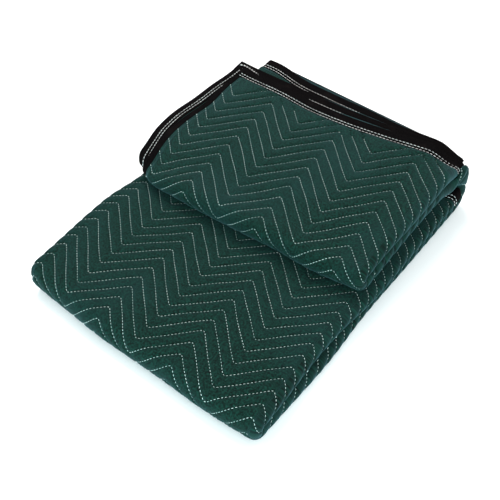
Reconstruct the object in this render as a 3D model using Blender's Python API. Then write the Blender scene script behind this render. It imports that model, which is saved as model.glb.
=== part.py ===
"""A folded moving pad: one quilted cloth, bound with four lengths of black tape.

The cloth is first folded in quarters across its width, which gives a strip of four layers called
a, b, c and d. The strip is then folded back and forth along its length into four legs:
leg 2 is the top of the lower stack, leg 1 its underside, leg 3 the underside of the flap and
leg 4 the flap's top. Lengths along u (to the right) and v (to the back) are counted in rows of
quilting stitches, and heights in layers above the surface that the pad lies on.
"""
import math

import bmesh
import bpy

# Driving sizes, in metres
ROW = 0.0245            # from one row of stitches to the next
PITCH = 0.0052          # from one layer to the next, where the stack is flattest
THICK = 0.0042          # the quilted cloth
BOUND = 0.0018          # the cloth pressed flat inside its binding
GROOVE = 0.0013         # depth of a row of stitches in the cloth's face
TAPE_WIDTH = 0.020      # the binding's width on each face
TAPE_THICK = 0.0006
TAPE_GAP = 0.0003       # between the binding and the cloth inside it
TAPER = 0.004           # length over which the cloth is pressed down to the binding

# Zigzag of the stitches, in rows
PERIOD = 5.72
SWING = 2.81
STRETCH_U = {"lower": 1.0, "flap": 1.038}       # the flap's cloth is pulled flatter than the stack's
STRETCH_V = {"lower": 1.0, "flap": 1.058}
FIRST_CORNER = {"lower": 8.58, "flap": 6.46}    # u of the first valley of each zigzag
CORNERS = 6
FIRST_ROW = {"lower": 14.405, "flap": 8.72}     # mean v of the first row of stitches modelled
CENTRE_U, CENTRE_V = 14.025, 14.565             # the middle of the pad's box, which becomes the origin

# Folds and ends along v, in rows
END_2 = 24.9            # the strip's end that is tucked into the back fold
BACK_CENTRE = 25.0      # centre of the back fold

# Layers of the strip, counted from its mid-plane
LAYER = {"a": -1.5, "b": -0.5, "c": 0.5, "d": 1.5}

# The front edge of each front fold, across the zigzag's corners counted from its first valley
FRONT_COLUMNS = ("corner", "lower", "flap")
FRONTS = (
    (-1.5, 1.97, 13.85),
    (0.0, 1.59, 12.33),
    (1.0, 1.34, 12.19),
    (3.0, 1.21, 12.24),
    (5.0, 1.18, 12.32),
    (6.0, 1.35, 12.55),
)

# The strip's sides along v: the fold at its left, the two bound edges there, the fold at its right
SIDE_COLUMNS = ("v", "fold", "edge_d", "edge_c", "right")
SIDES = {
    1: (
        (1.0, 5.60, 6.0, 6.4, 23.48),
        (3.3, 5.55, 6.0, 6.4, 23.63),
        (8.3, 5.20, 6.0, 6.4, 23.92),
        (12.0, 5.10, 6.0, 6.4, 23.88),
        (18.0, 5.10, 6.0, 6.4, 24.12),
        (26.3, 5.30, 6.0, 6.4, 24.43),
    ),
    2: (
        (1.0, 5.33, 6.0, 6.4, 23.56),
        (4.0, 5.17, 6.0, 6.4, 23.56),
        (8.0, 4.85, 6.0, 6.4, 23.51),
        (10.0, 4.76, 6.0, 6.4, 23.62),
        (13.0, 4.88, 6.0, 6.4, 23.98),
        (18.0, 4.93, 6.0, 6.4, 24.20),
        (25.0, 5.00, 6.0, 6.4, 24.46),
    ),
    3: (
        (12.0, 5.40, 5.15, 4.80, 23.33),
        (16.0, 5.40, 5.15, 4.80, 23.49),
        (20.0, 5.40, 5.15, 4.80, 23.61),
        (23.0, 5.40, 5.20, 4.80, 23.88),
        (25.0, 5.40, 5.40, 5.00, 24.45),
        (26.3, 5.40, 5.50, 5.50, 24.45),
    ),
    4: (
        (12.0, 5.40, 5.15, 4.80, 23.20),
        (13.4, 5.50, 5.05, 4.62, 23.27),
        (14.6, 5.50, 4.70, 4.17, 23.32),
        (16.2, 5.45, 4.46, 3.75, 23.44),
        (18.1, 5.40, 4.51, 3.64, 23.61),
        (20.5, 5.40, 4.81, 3.93, 23.73),
        (22.6, 5.50, 4.65, 4.06, 23.79),
        (24.3, 5.60, 4.72, 4.26, 23.83),
        (28.0, 5.70, 4.92, 4.21, 23.85),
    ),
}

# The sides at the front folds, which set each side's place among the zigzag's corners
EVEN_SIDES = {
    "lower": {"fold": 5.5, "edge_d": 6.0, "edge_c": 6.4, "right": 23.6},
    "flap": {"fold": 5.4, "edge_d": 5.15, "edge_c": 4.8, "right": 23.6},
}

# Where each layer ends at the flap's back edge, across the zigzag's corners
END_COLUMNS = ("corner", "a", "b", "c", "d")
END_1 = (
    (-0.75, 27.90, 27.90, 26.25, 25.14),
    (0.0, 27.88, 27.88, 26.08, 24.92),
    (1.0, 27.13, 27.13, 25.97, 24.80),
    (3.0, 26.58, 26.58, 25.90, 24.42),
    (5.0, 26.30, 26.30, 25.95, 24.97),
    (6.0, 26.10, 26.10, 25.95, 24.95),
)

# How far the springy folds hold the layers up, across the zigzag's corners
LIFT_COLUMNS = ("corner", "lower", "flap")
LIFTS = (
    (-1.5, 0.0095, 0.0127),
    (0.0, 0.0035, 0.0065),
    (1.0, 0.0005, 0.0026),
    (3.0, 0.0000, 0.0002),
    (5.0, 0.0030, 0.0023),
    (6.0, 0.0080, 0.0057),
)
FLAP_PRESS, PRESS_FROM, PRESS_OVER = 0.75, 9.0, 4.0     # the flap's weight presses the lift out
FLAP_FRONT, RISE_OVER = 13.5, 4.0                       # v where the flap starts to rise
FLAP_RISE, FLAP_LEAN = 0.09 * ROW, 0.02 * ROW           # its rise for each row of v and of u
FLAP_GAP = 0.40                                         # part of that rise that is under the flap
AIR = 0.0010                                            # between the lower stack and the flap
SWELL, SWELL_RATE = 0.0012, 0.42                        # slow waves of the top surfaces

# Height of the middle of each leg, and half the height of each fold, in layers
LEG_LEVEL = {1: 1.5, 2: 5.5, 3: 9.5, 4: 13.5}
FRONT_TURN, BACK_TURN = 2, 4
LAYERS = 4
TURN_RADIUS = ((FRONT_TURN + LAYER["d"]) * PITCH + THICK / 2) / ROW     # both front folds, in rows
BACK_RADIUS = ((BACK_TURN + LAYER["d"]) * PITCH + THICK / 2) / ROW
SIDE_RADIUS = 1.5 * PITCH                               # centreline of the fold at the right
SMALL_RADIUS = 0.5 * PITCH                              # centreline of the tight folds
TAPE_ROWS = TAPE_WIDTH / ROW
TAPER_ROWS = (TAPE_WIDTH + TAPER) / ROW
RIGHT_CENTRE = -(SIDE_RADIUS + THICK / 2) / ROW
FOLD_CENTRE = (SMALL_RADIUS + THICK / 2) / ROW
RIGHT_STEPS, SMALL_STEPS = 5, 3                         # flats round the big and the tight folds
INNER_CORNERS = (0, 1, 3, 5)                            # corners that the hidden layers bend at
SHARP_EDGE = math.radians(50)


def at(table, columns, name, place):
    """The named column of a table, interpolated along its first column."""
    index = columns.index(name)
    if place <= table[0][0]:
        return table[0][index]
    for low, high in zip(table, table[1:]):
        if place <= high[0]:
            share = (place - low[0]) / (high[0] - low[0])
            return low[index] + (high[index] - low[index]) * share
    return table[-1][index]


def smooth(value):
    value = min(max(value, 0.0), 1.0)
    return value * value * (3 - 2 * value)


def mix(first, last, share):
    return first + (last - first) * share


class Spot:
    """One point of the strip's section, on the centreline of its cloth."""

    def __init__(self, anchor, offset, layer, side, half=THICK / 2, arc=None, angle=0.0, bulge=1, grid=()):
        self.anchor = anchor    # the side that it keeps to, or None where offset is a zigzag corner
        self.offset = offset    # rows from that side, or the corner's number
        self.layer = layer      # layer, or the layer of the arc's centre
        self.side = side        # +1 where the outer face looks up the layers, -1 where down
        self.half = half        # half the cloth's thickness here
        self.arc = arc          # radius of the fold, in metres
        self.angle = angle      # round the fold, from its first layer
        self.bulge = bulge      # +1 where the outer face is outside the fold, -1 where inside
        self.grid = grid        # the zones whose zigzag the outer face follows here

    def place(self, sides, zone_share, normal):
        """u and layer of the point that lies so far from the centreline, towards the outer face."""
        if self.anchor is None:
            u = mix(corner("lower", self.offset), corner("flap", self.offset), zone_share)
        else:
            u = sides[self.anchor] + self.offset
        if self.arc is None:
            return u, self.layer + self.side * normal / PITCH
        radius = self.arc + normal * self.bulge
        out = 1 if self.anchor == "right" else -1
        return (u + out * radius * math.sin(self.angle) / ROW,
                self.layer + self.side * radius * math.cos(self.angle) / PITCH)

    def nominal(self, zone):
        """u on a pad with straight sides, which sets the spot's place in a zone's zigzag."""
        return self.place(EVEN_SIDES[zone], 1.0 if zone == "flap" else 0.0, 0.0)[0]


def half_period(zone):
    return PERIOD / 2 * STRETCH_U[zone]


def corner(zone, number):
    return FIRST_CORNER[zone] + half_period(zone) * number


def corner_number(zone, u):
    """The place of u among the corners of a zone's zigzag."""
    return (u - FIRST_CORNER[zone]) / half_period(zone)


def zigzag(zone, u):
    """From -0.5 in the valleys to 0.5 on the peaks of a zone's stitches."""
    return 0.5 - abs(corner_number(zone, u) % 2.0 - 1)


def front(zone, spot):
    """v of a front fold's centre at a spot."""
    return at(FRONTS, FRONT_COLUMNS, zone, corner_number(zone, spot.nominal(zone))) + TURN_RADIUS


def leg_starts(spot):
    """Lengths along the strip, in rows from its end 2, at which its legs and folds begin."""
    lengths = (END_2 - front("lower", spot), math.pi * TURN_RADIUS,
               BACK_CENTRE - front("lower", spot), math.pi * BACK_RADIUS,
               BACK_CENTRE - front("flap", spot), math.pi * TURN_RADIUS)
    starts = [0.0]
    for length in lengths:
        starts.append(starts[-1] + length)
    return starts


def on_strip(q, layer, spot):
    """v and layer height of a point of the strip, with the legs that it lies between."""
    starts = leg_starts(spot)
    lower, flap = front("lower", spot), front("flap", spot)
    scale = PITCH / ROW
    leg = sum(q >= start for start in starts[1:])
    share = (q - starts[leg]) / (starts[leg + 1] - starts[leg]) if leg % 2 else 0.0
    if leg == 0:
        return END_2 - q, LEG_LEVEL[2] - layer, 2, 2, share
    if leg == 1:
        turn = FRONT_TURN - layer
        return (lower - turn * scale * math.sin(math.pi * share),
                LEG_LEVEL[1] + FRONT_TURN + turn * math.cos(math.pi * share), 2, 1, share)
    if leg == 2:
        return lower + q - starts[2], LEG_LEVEL[1] + layer, 1, 1, share
    if leg == 3:
        turn = BACK_TURN - layer
        return (BACK_CENTRE + turn * scale * math.sin(math.pi * share),
                LEG_LEVEL[1] + BACK_TURN - turn * math.cos(math.pi * share), 1, 3, share)
    if leg == 4:
        return BACK_CENTRE - (q - starts[4]), LEG_LEVEL[3] - layer, 3, 3, share
    if leg == 5:
        turn = FRONT_TURN + layer
        return (flap - turn * scale * math.sin(math.pi * share),
                LEG_LEVEL[3] + FRONT_TURN - turn * math.cos(math.pi * share), 3, 4, share)
    return flap + q - starts[6], LEG_LEVEL[4] + layer, 4, 4, share


def lift(zone, u):
    return at(LIFTS, LIFT_COLUMNS, zone, corner_number(zone, u))


def height(u, v, level, zone_share):
    """World height of a point so many layers up, 0 to 1 of the way from the lower stack to the flap."""
    base = level + THICK / PITCH / 2
    pressed = 1 - FLAP_PRESS * smooth((v - PRESS_FROM) / PRESS_OVER)
    raised = mix(lift("lower", u), lift("flap", u), zone_share) * pressed + SWELL * math.sin(SWELL_RATE * v)
    rise = FLAP_RISE * (v - FLAP_FRONT) + FLAP_LEAN * (u - CENTRE_U)
    rise *= smooth((v - FLAP_FRONT + 1) / RISE_OVER)
    above = max(0.0, (level - 2 * LAYERS) / (2 * LAYERS - 1)) * (1 - FLAP_GAP)
    return (PITCH * base + raised * smooth(base / (2 * LAYERS)) + rise * (FLAP_GAP * zone_share + above)
            + AIR * zone_share)


def edge_spots(layer, side):
    """The bound edge of a layer, from its outside in."""
    anchor = "edge_" + layer
    return [Spot(anchor, 0.0, LAYER[layer], side, BOUND / 2),
            Spot(anchor, TAPE_ROWS, LAYER[layer], side, BOUND / 2),
            Spot(anchor, TAPER_ROWS, LAYER[layer], side)]


def arc_spots(anchor, offset, layer, side, radius, steps, bulge=1, grid=()):
    """A fold of the section, from the layer on its first side round to the next."""
    return [Spot(anchor, offset, layer, side, THICK / 2, radius, math.pi * step / steps, bulge, grid)
            for step in range(steps + 1)]


def section():
    """The section's spots, from the bound edge of layer d to that of layer c."""
    every = range(CORNERS)
    spots = edge_spots("d", 1)
    spots += [Spot(None, number, LAYER["d"], 1, grid=("flap",)) for number in every]
    spots += arc_spots("right", RIGHT_CENTRE, 0.0, 1, SIDE_RADIUS, RIGHT_STEPS, grid=("lower", "flap"))
    spots += [Spot(None, number, LAYER["a"], -1, grid=("lower",)) for number in reversed(every)]
    spots += arc_spots("fold", FOLD_CENTRE, -1.0, -1, SMALL_RADIUS, SMALL_STEPS)
    spots += [Spot(None, number, LAYER["b"], 1) for number in INNER_CORNERS]
    spots += arc_spots("right", RIGHT_CENTRE, 0.0, -1, SMALL_RADIUS, SMALL_STEPS, bulge=-1)
    spots += [Spot(None, number, LAYER["c"], -1) for number in reversed(INNER_CORNERS)]
    spots += list(reversed(edge_spots("c", -1)))
    return spots


def end_of(spot):
    """v at which a spot's cloth ends at the flap's back edge."""
    place = corner_number("flap", spot.nominal("flap"))
    if spot.arc is None:
        name = [key for key, value in LAYER.items() if value == spot.layer][0]
        return at(END_1, END_COLUMNS, name, place)
    if spot.arc == SIDE_RADIUS:
        first, last = "d", "a"
    elif spot.anchor == "fold":
        first, last = "a", "b"
    else:
        first, last = "b", "c"
    return mix(at(END_1, END_COLUMNS, first, place), at(END_1, END_COLUMNS, last, place), spot.angle / math.pi)


def zigzag_shift(spot, zone):
    """How far a spot's stitches lie from the middle of their zigzag, in rows of v."""
    if zone not in spot.grid:
        return 0.0
    swing = SWING * STRETCH_V[zone]
    if spot.arc is None:
        return swing * zigzag(zone, spot.nominal(zone))
    turned = spot.angle if zone == "flap" else math.pi - spot.angle
    along = SIDE_RADIUS * turned / ROW
    tangent = EVEN_SIDES[zone]["right"] + RIGHT_CENTRE
    return swing * zigzag(zone, tangent + along) * (1 - smooth(turned / math.pi))


class Station:
    """A line across the strip: its kind, its value, and what is done to the cloth there."""

    def __init__(self, kind, value, stitched=False, ridged=False, pressed=False):
        self.kind = kind            # "end_2", "end_1", "lower", "flap", "leg_1", "back" or "leg_3"
        self.value = value          # rows from an end, the mean v of a row, or a share of a leg
        self.stitched = stitched    # a row of stitches
        self.ridged = ridged        # a ridge of filling follows before the next station
        self.pressed = pressed      # flat inside the binding


WHOLE_ROWS = {"lower": 11, "flap": 8}       # rows where the cloth lies flat
HALF_ROWS = {"lower": 12, "flap": 12}       # finer stations round the front folds
HIDDEN = {"leg_1": 7, "back": 8, "leg_3": 3}
STRAIGHTENED = 3.5                          # rows lose their zigzag over this length before a fold


def stations():
    """The stations in order from end 2 to end 1."""
    line = [Station("end_2", 0.0, pressed=True), Station("end_2", TAPE_ROWS, pressed=True),
            Station("end_2", TAPER_ROWS), Station("lower", FIRST_ROW["lower"] + STRAIGHTENED)]
    row = FIRST_ROW["lower"]
    for _ in range(WHOLE_ROWS["lower"]):
        line.append(Station("lower", row, stitched=True, ridged=True))
        row -= 1.0
    for number in range(HALF_ROWS["lower"]):
        line.append(Station("lower", row, stitched=number % 2 == 0))
        row -= 0.5
    line += [Station("leg_1", step / HIDDEN["leg_1"]) for step in range(1, HIDDEN["leg_1"])]
    line += [Station("back", step / HIDDEN["back"]) for step in range(HIDDEN["back"] + 1)]
    line += [Station("leg_3", step / HIDDEN["leg_3"]) for step in range(1, HIDDEN["leg_3"])]
    row = FIRST_ROW["flap"]
    for number in range(HALF_ROWS["flap"]):
        line.append(Station("flap", row, stitched=number % 2 == 0))
        row += STRETCH_V["flap"] / 2
    for _ in range(WHOLE_ROWS["flap"]):
        line.append(Station("flap", row, stitched=True, ridged=True))
        row += STRETCH_V["flap"]
    line[-1].ridged = False
    line += [Station("end_1", TAPER_ROWS), Station("end_1", TAPE_ROWS, pressed=True),
             Station("end_1", 0.0, pressed=True)]
    return line


LINE = stations()
LOWER_LAST = min(station.value for station in LINE if station.kind == "lower")
FLAP_LAST = max(station.value for station in LINE if station.kind == "flap")
CROWDED = 0.35                              # rows that meet the end binding close up to this share


def length_at(station, spot, outer):
    """Length along the strip at which a station meets one spot of the section."""
    starts = leg_starts(spot)
    flap_zero = starts[6] - front("flap", spot)
    shift = 0.0
    if outer and station.kind in ("lower", "flap"):
        after_fold = (station.value - front(station.kind, spot)) / STRAIGHTENED
        before_end = (FIRST_ROW["lower"] - station.value) / STRAIGHTENED
        shift = zigzag_shift(spot, station.kind) * smooth(after_fold)
        if station.kind == "lower":
            shift *= smooth(before_end + 1)
    if station.kind == "end_2":
        return station.value
    if station.kind == "lower":
        return END_2 - station.value - shift
    if station.kind == "leg_1":
        return mix(END_2 - LOWER_LAST, starts[3], station.value)
    if station.kind == "back":
        return mix(starts[3], starts[4], station.value)
    if station.kind == "leg_3":
        return mix(starts[4], flap_zero + FIRST_ROW["flap"], station.value)
    end = flap_zero + end_of(spot)
    if station.kind == "flap":
        limit = end - TAPER_ROWS - CROWDED * (FLAP_LAST + 1 - station.value)
        return min(flap_zero + station.value + shift, limit)
    return end - station.value


def to_world(q, spot, normal):
    """World place of a point that lies at q along the strip and so far out of a spot."""
    layer = spot.place(EVEN_SIDES["lower"], 0.0, normal)[1]
    v, level, before, after, share = on_strip(q, layer, spot)
    blend = smooth(share)
    zone_share = blend if (before, after) == (1, 3) else float(before > 2)
    sides = {name: mix(at(SIDES[before], SIDE_COLUMNS, name, v), at(SIDES[after], SIDE_COLUMNS, name, v), blend)
             for name in SIDE_COLUMNS[1:]}
    u = spot.place(sides, zone_share, normal)[0]
    return (u - CENTRE_U) * ROW, (v - CENTRE_V) * ROW, height(u, v, level, zone_share)


def finish_mesh(name, points, faces, material):
    """An object made from points and faces, with its faces turned outwards."""
    mesh = bpy.data.meshes.new(name)
    mesh.from_pydata(points, [], faces)
    shape = bmesh.new()
    shape.from_mesh(mesh)
    bmesh.ops.triangulate(shape, faces=shape.faces[:])
    bmesh.ops.recalc_face_normals(shape, faces=shape.faces[:])
    if shape.calc_volume(signed=True) < 0:
        bmesh.ops.reverse_faces(shape, faces=shape.faces[:])
    shape.to_mesh(mesh)
    shape.free()
    mesh.shade_smooth()
    mesh.set_sharp_from_angle(angle=SHARP_EDGE)
    mesh.materials.append(material)
    piece = bpy.data.objects.new(name, mesh)
    bpy.context.scene.collection.objects.link(piece)
    return piece


def tube(name, rings, material):
    """A closed body through rings of the same number of points, with a face over each end."""
    count = len(rings[0])
    points = [point for ring in rings for point in ring]
    faces = [tuple(reversed(range(count))), tuple(range(len(points) - count, len(points)))]
    for ring in range(len(rings) - 1):
        for index in range(count):
            after = (index + 1) % count
            low, high = ring * count, (ring + 1) * count
            faces.append((low + index, low + after, high + after, high + index))
    return finish_mesh(name, points, faces, material)


def quilted_cloth(material):
    """The whole cloth in its folds, with the rows of stitches sunk into the faces that show."""
    spots = [(spot, True) for spot in section()] + [(spot, False) for spot in reversed(section())]
    count = len(spots)
    points = []
    ridges = {}

    def quilted(station, spot, outer):
        """Whether the outer face is quilted here, which it is where it shows."""
        return outer and station.kind in spot.grid

    def face_point(q, spot, outer, half):
        return to_world(q, spot, half if outer else -half)

    for station in LINE:
        for spot, outer in spots:
            half = BOUND / 2 if station.pressed else spot.half
            if station.stitched and quilted(station, spot, outer):
                half -= GROOVE
            points.append(face_point(length_at(station, spot, outer), spot, outer, half))
    for index, station in enumerate(LINE):
        for place, (spot, outer) in enumerate(spots):
            if station.ridged and quilted(station, spot, outer):
                q = (length_at(station, spot, outer) + length_at(LINE[index + 1], spot, outer)) / 2
                ridges[index, place] = len(points)
                points.append(face_point(q, spot, outer, spot.half))

    faces = [tuple(reversed(range(count))), tuple(range((len(LINE) - 1) * count, len(LINE) * count))]
    for index in range(len(LINE) - 1):
        for place in range(count):
            after = (place + 1) % count
            low, high = index * count, (index + 1) * count
            near, far = ridges.get((index, place)), ridges.get((index, after))
            if near is not None and far is not None:
                faces.append((low + place, low + after, far, near))
                faces.append((near, far, high + after, high + place))
                continue
            corners = (low + place, low + after, far, high + after, high + place, near)
            faces.append(tuple(corner for corner in corners if corner is not None))
    return finish_mesh("quilted_cloth", points, faces, material)


TAPE_OUT = BOUND / 2 + TAPE_GAP + TAPE_THICK             # half the binding's thickness
TAPE_IN = BOUND / 2 + TAPE_GAP
TAPE_BACK = TAPE_GAP + TAPE_THICK                        # the binding's fold past the cloth's edge
TAPE_PROFILE = (        # each point's distance inwards from the edge and out of the mid-plane
    (TAPE_WIDTH, TAPE_OUT),
    (0.0, TAPE_OUT),
    (-TAPE_BACK, TAPE_OUT / 2),
    (-TAPE_BACK, -TAPE_OUT / 2),
    (0.0, -TAPE_OUT),
    (TAPE_WIDTH, -TAPE_OUT),
    (TAPE_WIDTH, -TAPE_IN),
    (-TAPE_GAP, -TAPE_IN),
    (-TAPE_GAP, TAPE_IN),
    (TAPE_WIDTH, TAPE_IN),
)


def side_binding(name, layer, side, material):
    """The tape folded over one long edge of the cloth, between the two end bindings."""
    gap = (TAPE_WIDTH + TAPE_GAP) / ROW
    spots = [(Spot("edge_" + layer, inward / ROW, LAYER[layer], side), out) for inward, out in TAPE_PROFILE]
    rings = []
    for station in [Station("end_2", gap)] + LINE[3:-3] + [Station("end_1", gap)]:
        rings.append([to_world(length_at(station, spot, False), spot, out) for spot, out in spots])
    return tube(name, rings, material)


def end_binding(name, end, material):
    """The tape folded over one end of the strip, round all the folds of its section."""
    spots = section()
    spots.insert(0, Spot("edge_d", -TAPE_BACK / ROW, LAYER["d"], 1))
    spots.append(Spot("edge_c", -TAPE_BACK / ROW, LAYER["c"], -1))
    rings = []
    for spot in spots:
        rings.append([to_world(length_at(Station(end, inward / ROW), spot, False), spot, out)
                      for inward, out in TAPE_PROFILE])
    return tube(name, rings, material)


def principled(name, colour, roughness):
    material = bpy.data.materials.new(name)
    material.use_nodes = True
    shader = material.node_tree.nodes["Principled BSDF"]
    shader.inputs["Base Color"].default_value = (*colour, 1.0)
    shader.inputs["Roughness"].default_value = roughness
    shader.inputs["Metallic"].default_value = 0.0
    return material


for item in list(bpy.data.objects):
    bpy.data.objects.remove(item, do_unlink=True)

green = principled("green_cloth", (0.018, 0.075, 0.068), 0.9)
black = {name: principled(name + "_black", (0.012, 0.010, 0.011), 0.75)
         for name in ("side_binding_top", "side_binding_inner", "end_binding_flap", "end_binding_tucked")}
quilted_cloth(green)
side_binding("side_binding_top", "d", 1, black["side_binding_top"])
side_binding("side_binding_inner", "c", -1, black["side_binding_inner"])
end_binding("end_binding_flap", "end_1", black["end_binding_flap"])
end_binding("end_binding_tucked", "end_2", black["end_binding_tucked"])
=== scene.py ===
"""A folded moving pad: its quilted cloth, its bound edges and its stitches.

The cloth is folded across its width into a strip of four layers, called a, b, c and d, and the strip is
folded along its length into four legs. Leg 1 lies on the floor and leg 2 on it, leg 3 is the lower half
of the flap and leg 4 its upper half. From end 2, which is tucked in, the strip runs through legs 2, 1, 3
and 4 to end 1 at the flap's back edge. u runs to the right and v to the back, counted in rows of
quilting, and levels are counted in layers of cloth from the floor.
"""
import math

import bpy
import numpy as np
from mathutils import Matrix, Vector


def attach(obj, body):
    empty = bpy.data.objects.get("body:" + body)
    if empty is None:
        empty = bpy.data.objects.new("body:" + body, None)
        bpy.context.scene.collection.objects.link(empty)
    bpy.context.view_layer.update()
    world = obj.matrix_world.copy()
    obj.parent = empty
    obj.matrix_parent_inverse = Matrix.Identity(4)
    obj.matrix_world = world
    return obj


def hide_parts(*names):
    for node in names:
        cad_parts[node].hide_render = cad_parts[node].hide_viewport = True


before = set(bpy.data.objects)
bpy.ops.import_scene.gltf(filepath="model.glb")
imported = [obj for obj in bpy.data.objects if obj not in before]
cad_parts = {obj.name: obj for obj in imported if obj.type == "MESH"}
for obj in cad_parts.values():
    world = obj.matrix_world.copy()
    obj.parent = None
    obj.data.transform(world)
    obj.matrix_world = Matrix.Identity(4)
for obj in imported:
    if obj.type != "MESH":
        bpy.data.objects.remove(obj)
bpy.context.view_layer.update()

# The cloth and its folds, in metres
ROW = 0.0245  # from one row of stitches to the next
PITCH = 0.0052  # from one layer of the stack to the next
THICK = 0.0042  # the padded cloth
BOUND = 0.0018  # the cloth under a tape
PAST_TAPE_HALF = BOUND / 2 + 0.0006  # half the cloth's thickness just past a tape
AIR = 0.0010  # between the lower stack and the flap
ON_FLOOR = 0.0002  # the puffed underside is pressed flat where it rests
SIDE_RADIUS = 1.5 * PITCH
SMALL_RADIUS = 0.5 * PITCH

# The tapes, in metres
TAPE_WIDTH = 0.027
TAPE_THICK = 0.0006
TAPE_GAP = 0.0003  # between the cloth and its tape
TAPE_IN = BOUND / 2 + TAPE_GAP
TAPE_OUT = TAPE_IN + TAPE_THICK
TAPE_BACK = TAPE_GAP + TAPE_THICK
TAPER = 0.004  # from a tape to the cloth's full thickness
SIDE_TAPE = {"d": 0.011, "c": 0.024}  # the long edges' tapes, as far as each one shows

# The same and the folds' places, in rows
CENTRE_U, CENTRE_V = 14.025, 14.565  # the origin
END_2 = 25.08  # v of the tucked end
BACK_CENTRE = 24.9  # v of the back fold's centre
TURN_RADIUS = (3.5 * PITCH + THICK / 2) / ROW  # a front fold's outer face
BACK_RADIUS = (5.5 * PITCH + THICK / 2) / ROW  # the back fold's outer face
RIGHT_CENTRE = -(SIDE_RADIUS + THICK / 2) / ROW  # the right roll's centre from its side
FOLD_CENTRE = (SMALL_RADIUS + THICK / 2) / ROW  # the left fold's centre from its side
OUTER_ARC = {"right": -RIGHT_CENTRE, "fold": FOLD_CENTRE}
LAYER_ROWS = PITCH / ROW
TAPE_ROWS = TAPE_WIDTH / ROW
TAPER_ROWS = (TAPE_WIDTH + TAPER) / ROW
SIDE_TAPER = {name: (width + TAPER) / ROW for name, width in SIDE_TAPE.items()}
BEHIND_EDGE = 0.10  # from a bound edge to the cloth's next line
PAST_TAPE = 0.06  # from a tape to the line where the cloth begins to thicken

# Levels in the stack
LAYER = {"a": -1.5, "b": -0.5, "c": 0.5, "d": 1.5}  # each layer from the strip's middle
LEG_LEVEL = {1: 1.5, 2: 5.5, 3: 9.5, 4: 13.5}  # the middle of each leg
TURNS = {  # each fold's centre, and from there to the strip's middle
    "lower": {"level": 3.5, "reach": 2},
    "back": {"level": 5.5, "reach": 4},
    "flap": {"level": 11.5, "reach": 2},
}
FLAP_LEVEL, FLAP_LEVELS = 8, 7  # the flap's lowest layer, and from there to its top one

# The zigzag of the quilting, in rows
LATTICE = {
    "lower": {"valley": 8.58, "half": 2.86, "swing": 2.81, "row": 1.0, "first": 0.405},
    "flap": {"valley": 6.46, "half": 2.969, "swing": 2.97, "row": 1.058, "first": 0.254},
}

# The front edge of each front fold, along u
FRONTS = {
    "u": (4.0, 5.1, 6.5, 8.6, 11.4, 14.5, 17.2, 20.0, 22.9, 24.4),
    "lower": (2.01, 1.91, 1.76, 1.59, 1.34, 1.27, 1.21, 1.10, 1.18, 1.31),
    "flap": (13.20, 12.88, 12.33, 12.20, 12.17, 12.22, 12.32, 12.19, 12.45, 12.60),
}

# The strip's sides along v, for each of its legs
SIDES = {
    1: {
        "v": (1.0, 3.3, 8.3, 12.0, 18.0, 26.3),
        "fold": (5.60, 5.55, 5.20, 5.10, 5.10, 5.30),
        "edge_d": (6.0,) * 6,
        "edge_c": (6.4,) * 6,
        "right": (23.48, 23.63, 23.92, 23.88, 24.12, 24.43),
    },
    2: {
        "v": (1.0, 4.0, 8.0, 10.0, 13.0, 18.0, 25.0),
        "fold": (5.33, 5.17, 4.85, 4.76, 4.88, 4.93, 5.00),
        "edge_d": (6.0,) * 7,
        "edge_c": (6.4,) * 7,
        "right": (23.56, 23.56, 23.51, 23.62, 23.98, 24.20, 24.46),
    },
    3: {
        "v": (12.0, 16.0, 20.0, 23.0, 25.0, 26.3),
        "fold": (5.40,) * 6,
        "edge_d": (5.30, 5.30, 5.30, 5.30, 5.40, 5.50),
        "edge_c": (4.80, 4.80, 4.80, 4.80, 5.00, 5.50),
        "right": (23.35, 23.50, 23.62, 23.83, 24.22, 24.40),
    },
    4: {
        "v": (12.0, 13.4, 14.6, 16.2, 18.1, 20.5, 22.6, 24.3, 28.0),
        "fold": (5.40, 5.50, 5.50, 5.45, 5.40, 5.40, 5.50, 5.60, 5.70),
        "edge_d": (5.30, 5.30, 5.07, 4.83, 4.88, 5.18, 5.02, 5.09, 5.29),
        "edge_c": (4.80, 4.52, 4.17, 3.75, 3.64, 3.93, 4.06, 4.26, 4.21),
        "right": (23.21, 23.29, 23.33, 23.45, 23.61, 23.73, 23.80, 23.85, 23.87),
    },
}
EVEN_SIDES = {
    "lower": {"fold": 5.5, "edge_d": 6.0, "edge_c": 6.4, "right": 23.6},
    "flap": {"fold": 5.4, "edge_d": 5.3, "edge_c": 4.8, "right": 23.6},
}

# Where each layer ends at the flap's back edge, along u
ENDS = {
    "u": (4.2, 6.5, 9.4, 12.4, 15.4, 18.4, 21.4, 24.4),
    "a": (27.90, 27.88, 27.24, 26.97, 26.77, 26.47, 26.46, 25.90),
    "b": (27.87, 27.93, 27.26, 27.00, 26.80, 26.52, 26.52, 26.20),
    "c": (26.25, 26.07, 25.94, 25.80, 25.74, 25.80, 25.92, 25.92),
    "d": (25.47, 25.23, 25.09, 24.71, 24.70, 24.93, 25.25, 25.27),
}

# How far the springy folds hold the layers up, along u
LIFTS = {
    "u": (4.3, 6.4, 8.6, 11.4, 14.3, 17.2, 20.0, 22.9, 25.7),
    "lower": (0.0095, 0.0062, 0.0033, 0.0008, 0.0, 0.0002, 0.0012, 0.0033, 0.0080),
    "flap": (0.0100, 0.0066, 0.0036, 0.0010, 0.0002, 0.0004, 0.0014, 0.0034, 0.0080),
}
FLAP_PRESS, PRESS_FROM, PRESS_OVER = 0.75, 9.0, 4.0  # the flap's weight presses this out, along v
LIFT_LEVELS = 8  # levels over which it grows from the floor up
SWELL, SWELL_WAVE = 0.0012, 0.42  # a long wave in the stack, along v

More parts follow.
